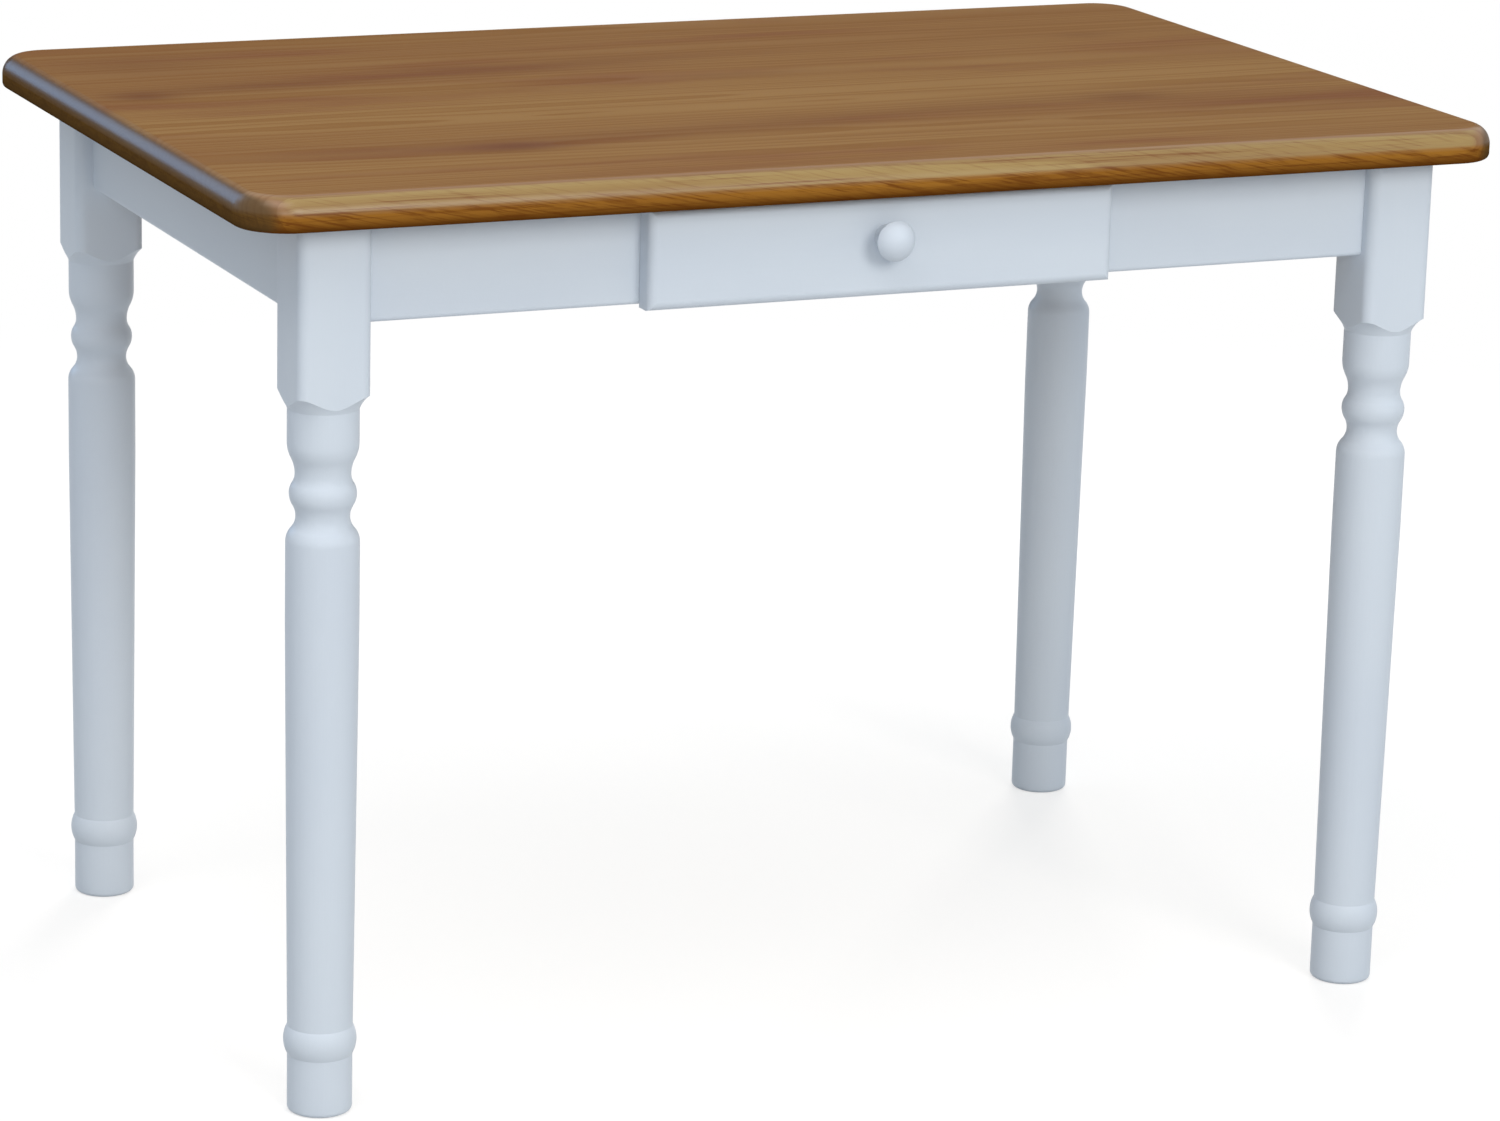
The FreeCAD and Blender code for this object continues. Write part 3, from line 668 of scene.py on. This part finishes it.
class PieceTree(Tree):
    """Geometry nodes with named inputs for a piece's sizes."""

    kinds = {
        "Steps": "NodeSocketInt", "Seed": "NodeSocketInt", "Finish": "NodeSocketMaterial",
        "Length": "NodeSocketFloat", "Crease": "NodeSocketFloat", "Spin": "NodeSocketFloat",
    }

    def __init__(self, name, labels):
        group = bpy.data.node_groups.new(name, "GeometryNodeTree")
        super().__init__(group)
        group.interface.new_socket("Geometry", in_out="INPUT", socket_type="NodeSocketGeometry")
        group.interface.new_socket("Geometry", in_out="OUTPUT", socket_type="NodeSocketGeometry")
        self.keys = {}
        for label in (*self.kinds, *labels):
            if label not in self.keys:
                kind = self.kinds.get(label, "NodeSocketFloat")
                socket = group.interface.new_socket(label, in_out="INPUT", socket_type=kind)
                self.keys[label] = socket.identifier
        self.given = self.node("NodeGroupInput")

    def size(self, label):
        return self.given.out(label)

    def line(self, start, end, rows=2):
        """Straight section of an outline between two points of radius and height."""
        return self.section("GeometryNodeCurvePrimitiveLine", rows, Start=start, End=end)

    def arc(self, start, through, end, rows=arc_rows):
        """Round section of an outline through three points of radius and height."""
        ends = {"Start": start, "Middle": through, "End": end}
        return self.section("GeometryNodeCurveArc", rows, {"Resolution": rows}, **ends)

    def ogee(self, start, end):
        """Two equal arcs, both upright at their outer ends, that meet halfway."""
        out, up = end[0] - start[0], end[1] - start[1]
        sweep = (up * up + out * out) / (out * 4)
        lift = up / 4
        bulge = sweep - sweep * self.math("SQRT", 1 - lift * lift / (sweep * sweep))
        middle = (start[0] + out / 2, start[1] + up / 2)
        first = self.arc(start, (start[0] + bulge, start[1] + lift), middle)
        return [first, self.arc(middle, (end[0] - bulge, end[1] - lift), end)]

    def dome(self, rim, crown, rows=arc_rows):
        """Round cap from a rim to its level crown."""
        rise = crown[1] - rim[1]
        sweep = (rim[0] * rim[0] + rise * rise) / (rise * 2)
        lean = self.math("ARCSINE", rim[0] / sweep) / 2
        drop = sweep * (1 - self.math("COSINE", lean))
        return self.arc(rim, (sweep * self.math("SINE", lean), crown[1] - drop), crown, rows)

    def section(self, kind, rows, settings=None, **ends):
        """Rows of an outline along a kind of curve, and what gives their radius and height."""
        sockets = {name: self.point(out, 0.0, up) for name, (out, up) in ends.items()}
        curve = self.node(kind, {"mode": "POINTS"}, {**sockets, **(settings or {})})

        def outline(row, angle):
            sockets = {"Curves": curve, "Factor": row / (rows - 1)}
            spot = self.node("GeometryNodeSampleCurve", {"mode": "FACTOR"}, sockets, "Position")
            return self.parts(spot)[::2]

        return rows, outline

    def turned(self, steps, sections, spread=None):
        """Closed skin about Z through the sections of its outline, from the lower end up."""
        skins = []
        for rows, outline in sections:
            sockets = {"Size X": 1.0, "Size Y": 1.0, "Vertices X": steps + 1, "Vertices Y": rows}
            sheet = self.node("GeometryNodeMeshGrid", {}, sockets)
            across, up = self.parts(self.node("GeometryNodeInputPosition"))[:2]
            angle = spread(across + 0.5) if spread else (across + 0.5) * math.tau
            radius, height = outline(self.math("ROUND", (up + 0.5) * (rows - 1)), angle)
            cosine, sine = self.math("COSINE", angle), self.math("SINE", angle)
            spot = self.point(cosine * radius, sine * radius, height)
            sockets = {"Geometry": sheet, "Position": spot}
            skins.append(self.node("GeometryNodeSetPosition", {}, sockets))
        whole = self.node("GeometryNodeJoinGeometry", {}, {"Geometry": skins})
        return self.node("GeometryNodeMergeByDistance", {}, {"Geometry": whole, "Distance": weld})

    def prism(self, steps, *corners):
        """Closed skin about Z with straight sections between corners of radius and height."""
        sections = [self.line(start, end) for start, end in zip(corners, corners[1:])]
        return self.turned(steps, sections)

    def both_ends(self, *corners):
        """Corners of the lower end, then the same at the upper end."""
        length = self.size("Length")
        return [*corners, *((out, length - up) for out, up in corners[::-1])]

    def ridge(self, height, angle, pitch, width_share):
        """Thread from 0 at the root to 1 at the crest."""
        phase = self.math("FRACT", height / pitch - angle / math.tau + 1.0)
        return self.math("MAXIMUM", 1 - self.math("ABSOLUTE", phase - 0.5) / (width_share / 2), 0.0)

    def without(self, body, tool):
        settings = {"operation": "DIFFERENCE", "solver": "EXACT"}
        return self.node("GeometryNodeMeshBoolean", settings, {"Mesh 1": body, "Mesh 2": tool})

    def common(self, *bodies):
        settings = {"operation": "INTERSECT", "solver": "EXACT"}
        return self.node("GeometryNodeMeshBoolean", settings, {"Mesh 2": list(bodies)})

    def set_out(self, piece):
        """One piece at each point, along the point's direction and with a chance turn about it."""
        piece = self.node("GeometryNodeSetShadeSmooth", {"domain": "FACE"}, {"Geometry": piece})
        bend = self.node("GeometryNodeInputMeshEdgeAngle")
        sharp = self.math("GREATER_THAN", bend, self.size("Crease"))
        sockets = {"Geometry": piece, "Selection": sharp, "Shade Smooth": False}
        piece = self.node("GeometryNodeSetShadeSmooth", {"domain": "EDGE"}, sockets)
        settings = {"data_type": "FLOAT_VECTOR"}
        heading = self.node("GeometryNodeInputNamedAttribute", settings, {"Name": "direction"})
        aim = self.node("FunctionNodeAlignRotationToVector", {"axis": "Z"}, {"Vector": heading})
        chance = {3: self.size("Spin"), "Seed": self.size("Seed")}
        spin = self.node("FunctionNodeRandomValue", {"data_type": "FLOAT"}, chance, 1)
        sockets = {"Axis": (0.0, 0.0, 1.0), "Angle": spin}
        twist = self.node("FunctionNodeAxisAngleToRotation", {}, sockets)
        settings = {"rotation_space": "LOCAL"}
        turn = self.node("FunctionNodeRotateRotation", settings, {0: aim, 1: twist})
        sockets = {"Points": self.size("Geometry"), "Instance": piece, "Rotation": turn}
        spread = self.node("GeometryNodeInstanceOnPoints", {}, sockets)
        real = self.node("GeometryNodeRealizeInstances", {}, {"Geometry": spread})
        sockets = {"Geometry": real, "Material": self.size("Finish")}
        self.node("NodeGroupOutput", {}, {0: self.node("GeometryNodeSetMaterial", {}, sockets)})


def turned_leg():
    """Square block over a turned leg, from the floor up to the top."""
    tree = PieceTree("turned_leg", (*leg_sizes, *shoulder_arc()))
    size = tree.size
    half, rounding, collar = size("Block Half"), size("Block Round"), size("Collar Radius")
    core = half - rounding
    corner_start = tree.math("ARCTANGENT", core / half)
    columns = corner_columns + 2 * flat_columns

    def ramp(value, start, end, rise):
        sockets = {"Value": value, "From Min": start, "From Max": end, "To Max": rise}
        return tree.node("ShaderNodeMapRange", {}, sockets)

    def spread(share):
        quarter = share * block_sides
        within = tree.math("FRACT", quarter)
        first, last = flat_columns / columns, 1 - flat_columns / columns
        angle = ramp(within, 0.0, first, corner_start) + ramp(within, last, 1.0, corner_start)
        angle = angle + ramp(within, first, last, quarter_turn - corner_start * 2)
        return angle + tree.math("FLOOR", quarter) * quarter_turn

    def square_reach(angle):
        """Distance from the axis to the block's rounded square."""
        turn = tree.math("FRACT", angle / quarter_turn + 0.5) - 0.5
        turn = tree.math("ABSOLUTE", turn) * quarter_turn
        sine, cosine = tree.math("SINE", turn), tree.math("COSINE", turn)
        flat = half / cosine
        side = core * (cosine - sine)
        corner = core * (cosine + sine) + tree.math("SQRT", rounding * rounding - side * side)
        return flat + tree.math("GREATER_THAN", turn, corner_start) * (corner - flat)

    length = size("Length")
    shoulder_foot = length - size("Block Length") - size("Shoulder Height")

    def shoulder_level(reach):
        """Height of the hollow shoulder at a distance from the axis."""
        sweep, out = size("Shoulder Sweep"), reach - collar - size("Shoulder Centre Out")
        centre = shoulder_foot + size("Shoulder Centre Up")
        return centre + tree.math("SQRT", sweep * sweep - out * out)

    def shoulder(row, angle):
        reach = collar + (square_reach(angle) - collar) * row / (arc_rows - 1)
        return reach, shoulder_level(reach)

    def block(row, angle):
        reach = square_reach(angle)
        foot = shoulder_level(reach)
        return reach, foot + (length - foot) * row / (line_rows - 1)

    def cap(row, angle):
        return square_reach(angle) * (1 - row), length

    foot, foot_round = size("Foot Radius"), size("Foot Round")
    ease = foot_round * (1 - math.sqrt(0.5))
    ring_foot = size("Foot Height")
    ring_top = ring_foot + size("Ring Height")
    levels = [shoulder_foot]
    for label in ("Collar", "Cup", "Bead Upper", "Bead Lower", "Shaft Shoulder", "Shaft Straight"):
        levels.append(levels[-1] - size(label + " Length"))
    collar_level, *turning_levels, taper_level = levels
    turning = [collar]
    turning += [size(label + " Radius") for label in ("Upper Neck", "Bead", "Lower Neck", "Shaft")]
    rings = list(zip(turning, turning_levels))[::-1]
    shaft = turning[-1]

    sole_edge = foot - foot_round
    sections = [tree.line((0.0, 0.0), (sole_edge, 0.0))]
    sections += [tree.arc((sole_edge, 0.0), (foot - ease, ease), (foot, foot_round))]
    sections += [tree.line((foot, foot_round), (foot, ring_foot), line_rows)]
    crest = (size("Ring Radius"), ring_foot + size("Ring Height") / 2)
    shaft_foot = (size("Shaft Foot Radius"), ring_top)
    sections += [tree.arc((foot, ring_foot), crest, shaft_foot, wide_arc_rows)]
    sections += [tree.line(shaft_foot, (shaft, taper_level), shaft_rows)]
    sections += [tree.line((shaft, taper_level), rings[0], line_rows)]
    for start, end in zip(rings, rings[1:]):
        sections += tree.ogee(start, end)
    sections += [tree.line(rings[-1], (collar, collar_level), line_rows)]
    sections += [(arc_rows, shoulder), (line_rows, block), (2, cap)]
    tree.set_out(tree.turned(block_sides * columns, sections, spread))
    return tree


def shoulder_arc():
    """Centre and radius of the hollow under the block, counted from the collar."""
    wide = leg_sizes["Block Half"] * math.sqrt(2) - leg_sizes["Collar Radius"]
    tall = leg_sizes["Shoulder Height"]
    hollow = (wide * shoulder_hollow_shares[0], tall * shoulder_hollow_shares[1])
    points = numpy.array([hollow, (wide, tall)])
    centre = numpy.linalg.solve(2 * points, (points * points).sum(axis=1))
    labels = ("Shoulder Centre Out", "Shoulder Centre Up", "Shoulder Sweep")
    return dict(zip(labels, (*map(float, centre), float(numpy.linalg.norm(centre)))))


def turned_knob():
    """Mushroom knob with a waisted neck, from the drawer front outwards."""
    tree = PieceTree("turned_knob", knob_sizes)
    size = tree.size
    base, crown = (size("Base Radius"), 0.0), (0.0, size("Length"))
    neck, rim = (size("Neck Radius"), size("Neck Height")), (size("Rim Radius"), size("Rim Height"))
    waist = (neck[0], neck[1] / 2)
    under = (neck[0] + (rim[0] - neck[0]) * size("Under Out Share"),
             neck[1] + (rim[1] - neck[1]) * size("Under Up Share"))
    sections = [tree.line((0.0, 0.0), base), tree.arc(base, waist, neck)]
    sections += [tree.arc(neck, under, rim), tree.dome(rim, crown, wide_arc_rows)]
    tree.set_out(tree.turned(size("Steps"), sections))
    return tree


def pan_head_screw():
    """Wood screw from its tip at the origin to its crossed head at the top."""
    tree = PieceTree("pan_head_screw", screw_sizes)
    size = tree.size
    length, root, pitch, slot = size("Length"), size("Root"), size("Pitch"), size("Slot Width")
    head = size("Head Radius")
    seat = length - size("Head Height")
    rows = tree.math("ROUND", seat / pitch * rows_per_pitch) + 1

    def shank(row, angle):
        height = row / (rows - 1) * seat
        taper = tree.math("MINIMUM", height / size("Point"), 1.0)
        threaded = 1 - tree.soft_step(height, seat - size("Neck") - pitch, seat - size("Neck"))
        bite = tree.ridge(height, angle, pitch, wood_ridge_share) * (size("Crest") - root)
        return (root + bite * threaded) * taper, height

    rim = (head, seat + size("Rim Height"))
    sections = [(rows, shank), tree.line((root, seat), (head, seat)), tree.line((head, seat), rim)]
    sections += [tree.dome(rim, (0.0, length))]
    screw = tree.turned(size("Steps"), sections)
    for turn in (0.0, quarter_turn):
        bar = tree.point(slot * slot_reach_share, slot, slot * slot_depth_share)
        bar = tree.node("GeometryNodeMeshCube", {}, {"Size": bar})
        sockets = {"Geometry": bar, "Translation": tree.point(0.0, 0.0, length)}
        sockets["Rotation"] = (0.0, 0.0, turn)
        screw = tree.without(screw, tree.node("GeometryNodeTransform", {}, sockets))
    tree.set_out(screw)
    return tree


def hanger_bolt():
    """Headless bolt: wood thread from the origin, plain middle, machine thread at the far end."""
    tree = PieceTree("hanger_bolt", bolt_sizes)
    size = tree.size
    length, crest, pitch = size("Length"), size("Crest"), size("Pitch")
    thread_foot, wood_end = length - size("Thread Length"), size("Wood Length")
    rows = tree.math("ROUND", length / pitch * rows_per_pitch) + 1

    def bar(row, angle):
        height = row / (rows - 1) * length
        wood = 1 - tree.soft_step(height, wood_end - size("Wood Pitch"), wood_end)
        coarse = 1 - tree.ridge(height, angle, size("Wood Pitch"), wood_ridge_share)
        machine = tree.soft_step(height, thread_foot, thread_foot + pitch)
        fine = 1 - tree.ridge(height, angle, pitch, 1.0)
        cut = coarse * wood * (crest - size("Wood Root")) + fine * machine * (crest - size("Root"))
        taper = tree.math("MINIMUM", height / size("Point"), 1.0)
        narrowing = (length - height) / (crest * bolt_end_crests) + bolt_end_share
        chamfer = tree.math("MINIMUM", narrowing, 1.0)
        return (crest - cut) * taper * chamfer, height

    def end(row, angle):
        radius, height = bar(rows - 1, angle)
        return radius * (1 - row), height

    tree.set_out(tree.turned(size("Steps"), [(rows, bar), (2, end)]))
    return tree


def hexagon_nut():
    """Six-sided nut with both faces chamfered, from the origin up."""
    tree = PieceTree("hexagon_nut", nut_sizes)
    size = tree.size
    width, bore, chamfer, below = size("Width"), size("Bore"), size("Chamfer"), 0 - size("Length")
    reach = width / (2 * math.cos(math.pi / nut_sides))
    rim = width / 2 - chamfer * nut_rim_share
    wide = rim + chamfer * math.tan(math.pi / 3)
    prism = tree.prism(nut_sides, *tree.both_ends((0.0, 0.0), (reach, 0.0)))
    rims = tree.both_ends((0.0, 0.0), (rim, 0.0), (wide, chamfer))
    barrel = tree.prism(size("Steps"), *rims)
    drill = tree.prism(size("Steps"), *tree.both_ends((0.0, below), (bore, below)))
    tree.set_out(tree.without(tree.common(prism, barrel), drill))
    return tree


def flat_washer():
    """Ring with its outer rims eased, from the origin up."""
    tree = PieceTree("flat_washer", washer_sizes)
    size = tree.size
    radius, bore, ease = size("Radius"), size("Bore"), size("Ease")
    ring = tree.both_ends((bore, 0.0), (radius - ease, 0.0), (radius, ease))
    tree.set_out(tree.prism(size("Steps"), *ring, ring[0]))
    return tree


def fluted_dowel():
    """Pin with glue flutes and chamfered ends, from the origin up."""
    tree = PieceTree("fluted_dowel", guide_dowel_sizes)
    size = tree.size
    radius, chamfer = size("Radius"), size("Chamfer")
    corners = tree.both_ends((0.0, 0.0), (radius - chamfer, 0.0), (radius, chamfer))

    def fluted(section):
        rows, outline = section

        def grooved(row, angle):
            out, height = outline(row, angle)
            flute = 0.5 - tree.math("COSINE", angle * size("Flutes")) * 0.5
            return out * (1 - flute * size("Flute Depth") / radius), height

        return rows, grooved

    sections = [fluted(tree.line(start, end)) for start, end in zip(corners, corners[1:])]
    tree.set_out(tree.turned(size("Steps"), sections))
    return tree


def loose_parts(node):
    """Corner points of each loose part of a solid, in a fixed order."""
    shell = bmesh.new()
    shell.from_mesh(frame["nodes"][node].data)
    bmesh.ops.remove_doubles(shell, verts=shell.verts, dist=weld)
    shell.verts.ensure_lookup_table()
    found = set()
    parts = []
    for first in shell.verts:
        if first.index in found:
            continue
        found.add(first.index)
        part = [first]
        for corner in part:
            for edge in corner.link_edges:
                other = edge.other_vert(corner)
                if other.index not in found:
                    found.add(other.index)
                    part.append(other)
        parts.append(numpy.array([corner.co for corner in part]))
    shell.free()
    return parts


def hardware_places(node):
    """Narrow end, direction and length of each loose part, along the middles of its two ends."""
    places = []
    for points in loose_parts(node):
        middle = points.mean(axis=0)
        spreads, ways = numpy.linalg.eigh(numpy.cov((points - middle).T))
        axis = ways[:, 2 if spreads[2] - spreads[1] > spreads[1] - spreads[0] else 0]
        if axis[:2] @ middle[:2] > 0:
            axis = -axis
        along = (points - middle) @ axis
        margin = (along.max() - along.min()) * end_share
        ends = [points[along < along.min() + margin], points[along > along.max() - margin]]
        widths = [numpy.ptp(end, axis=0).max() for end in ends]
        if widths[0] > widths[1] + weld:
            ends.reverse()
        foot, head = (end.mean(axis=0) for end in ends)
        axis = (head - foot) / numpy.linalg.norm(head - foot)
        along = (points - foot) @ axis
        places.append((foot + axis * along.min(), axis, along.max() - along.min()))
    return places


def turned_place(node, axis, way):
    """Foot, direction and length of a turned piece along one axis of its solid's box."""
    low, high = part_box(node)
    foot, direction = (low + high) / 2, Vector()
    foot[axis] = (low if way > 0 else high)[axis]
    direction[axis] = way
    return foot, direction, high[axis] - low[axis]


def set_pieces(name, nodes, places, tree, sizes, finish):
    """Replace solids by pieces of a tree, one at each place."""
    marks = bpy.data.meshes.new(name + "_places")
    marks.from_pydata([start for start, axis, length in places], [], [])
    heading = marks.attributes.new("direction", "FLOAT_VECTOR", "POINT")
    for mark, (start, axis, length) in zip(heading.data, places):
        mark.vector = axis
    piece = new_object(name, marks)
    modifier = piece.modifiers.new(name, "NODES")
    modifier.node_group = tree.node_tree
    given = {"Length": float(places[0][2]), "Finish": finish, "Seed": hardware_seed, **sizes}
    for label, value in given.items():
        modifier[tree.keys[label]] = value
    shown = piece.evaluated_get(bpy.context.evaluated_depsgraph_get())
    mesh = bpy.data.meshes.new_from_object(shown)
    mesh.name = name
    piece.modifiers.remove(modifier)
    piece.data = mesh
    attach(piece, body_of_node[nodes[0]])
    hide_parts(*nodes)


def make_turned_pieces(finishes):
    """The legs and the drawer's knob."""
    lacquer = finishes["white_lacquer"]
    sizes = {**leg_sizes, **shoulder_arc(), "Crease": crease_angle}
    places = [turned_place(node, 2, 1.0) for node in leg_nodes]
    set_pieces("turned_legs", leg_nodes, places, turned_leg(), sizes, lacquer["z"])
    sizes = {**knob_sizes, "Steps": knob_steps, "Crease": crease_angle}
    places = [turned_place("drawer_knob", 1, -1.0)]
    set_pieces("turned_knob", ["drawer_knob"], places, turned_knob(), sizes, lacquer["y"])


def make_hardware(finishes):
    """Every screw, bolt, nut, washer and dowel, each turned about its axis by chance."""
    screw, dowel = pan_head_screw(), fluted_dowel()
    fittings = {node: ("threaded_", screw, screw_sizes) for node in screw_nodes}
    fittings["hanger_bolts"] = ("threaded_", hanger_bolt(), bolt_sizes)
    fittings["hanger_nuts"] = ("chamfered_", hexagon_nut(), nut_sizes)
    fittings["hanger_washers"] = ("eased_", flat_washer(), washer_sizes)
    fittings["guide_dowels"] = ("fluted_", dowel, guide_dowel_sizes)
    fittings["drawer_dowels"] = ("fluted_", dowel, drawer_dowel_sizes)
    for node, (form, tree, sizes) in fittings.items():
        given = {**sizes, "Crease": hardware_crease, "Spin": math.tau}
        places, finish = hardware_places(node), finishes[node_slots[node]]
        set_pieces(form + node, [node], places, tree, given, finish)


# Studio


def aimed(place, aim):
    """Matrix of a camera or a lamp that looks from its place at a point."""
    look = (aim - place).to_track_quat("-Z", "Y").to_matrix().to_4x4()
    return Matrix.Translation(place) @ look


def add_camera():
    camera = new_object("table_camera", bpy.data.cameras.new("table_camera"))
    camera.data.lens = camera_lens
    camera.data.sensor_fit = "HORIZONTAL"
    camera.matrix_world = aimed(camera_place, camera_aim) @ Matrix.Rotation(camera_roll, 4, "Z")
    bpy.context.scene.camera = camera


def add_softboxes():
    for name, (place, size, power, colour) in softboxes.items():
        lamp = bpy.data.lights.new(name, "AREA")
        lamp.shape = "RECTANGLE"
        lamp.size, lamp.size_y = size
        lamp.energy = power
        lamp.color = colour
        light = new_object(name, lamp)
        light.matrix_world = aimed(Vector(place), light_aim)
        light.visible_camera = False
        light.visible_diffuse = name != shine_only
        light.visible_glossy = name != light_only


def background_rays(tree):
    """1 for rays that look at the background: from the camera, or by way of metal or glass."""
    path = tree.node("ShaderNodeLightPath", output="Is Camera Ray")
    seen = tree.math("MAXIMUM", path, path.out("Is Glossy Ray"))
    return tree.math("MAXIMUM", seen, path.out("Is Transmission Ray"))


def add_room():
    """White background, and the same soft light from all round."""
    world = bpy.data.worlds.new("pale_room")
    world.use_nodes = True
    tree = Tree(world.node_tree)
    light = tree.node("ShaderNodeBackground", {}, {"Color": opaque(room_light)})
    seen = tree.node("ShaderNodeBackground", {}, {"Color": opaque(white)})
    surface = tree.node("ShaderNodeMixShader", {}, {0: background_rays(tree), 1: light, 2: seen})
    tree.node("ShaderNodeOutputWorld", {}, {"Surface": surface})
    bpy.context.scene.world = world


def flat_panel(name, corners, material):
    """Flat stage panel between four corners."""
    mesh = bpy.data.meshes.new(name)
    mesh.from_pydata(corners, [], [(0, 1, 2, 3)])
    mesh.materials.append(material)
    panel = new_object(name, mesh)
    return panel


def add_floor():
    """Pale floor that keeps the table's shadow and fades to white away from it."""
    material, tree = material_tree("pale_floor")
    plain = tree.node("ShaderNodeBsdfDiffuse", {}, {"Color": opaque(floor_colour)})
    shade = tree.node("ShaderNodeBsdfDiffuse", {}, {"Color": opaque(floor_shade)})
    glow = tree.node("ShaderNodeEmission", {}, {"Color": opaque(white), "Strength": floor_glow})
    near = tree.node("ShaderNodeAddShader", {}, {0: shade, 1: glow})
    far = tree.node("ShaderNodeEmission", {}, {"Color": opaque(white), "Strength": 1.0})
    x, y, z = tree.place()
    away = tree.soft_step(tree.math("SQRT", x * x + y * y), *floor_fade)
    seen = tree.node("ShaderNodeMixShader", {}, {0: away, 1: near, 2: far})
    surface = tree.node("ShaderNodeMixShader", {}, {0: background_rays(tree), 1: plain, 2: seen})
    tree.node("ShaderNodeOutputMaterial", {}, {"Surface": surface})
    half = floor_size / 2
    corners = [(-half, -half, 0.0), (half, -half, 0.0), (half, half, 0.0), (-half, half, 0.0)]
    flat_panel("floor", corners, material)


def add_back_screen():
    """Dark screen behind the table, outside the camera's frame, that keeps glare off the top."""
    material, tree = material_tree("dark_screen")
    cloth = tree.node("ShaderNodeBsdfDiffuse", {}, {"Color": opaque(screen_colour)})
    tree.node("ShaderNodeOutputMaterial", {}, {"Surface": cloth})
    across = Vector((screen_place[1], -screen_place[0], 0.0)).normalized() * (screen_size[0] / 2)
    base = Vector(screen_place)
    top = Vector((0.0, 0.0, screen_size[1]))
    corners = [base - across, base + across, base + across + top, base - across + top]
    screen = flat_panel("back_screen", corners, material)
    screen.visible_camera = False
    screen.visible_diffuse = False
    screen.visible_shadow = False


add_camera()
finishes = make_finishes()
dress_solids(finishes)
make_turned_pieces(finishes)
make_hardware(finishes)
add_softboxes()
add_room()
add_floor()
add_back_screen()
bpy.context.scene.view_settings.view_transform = "Standard"
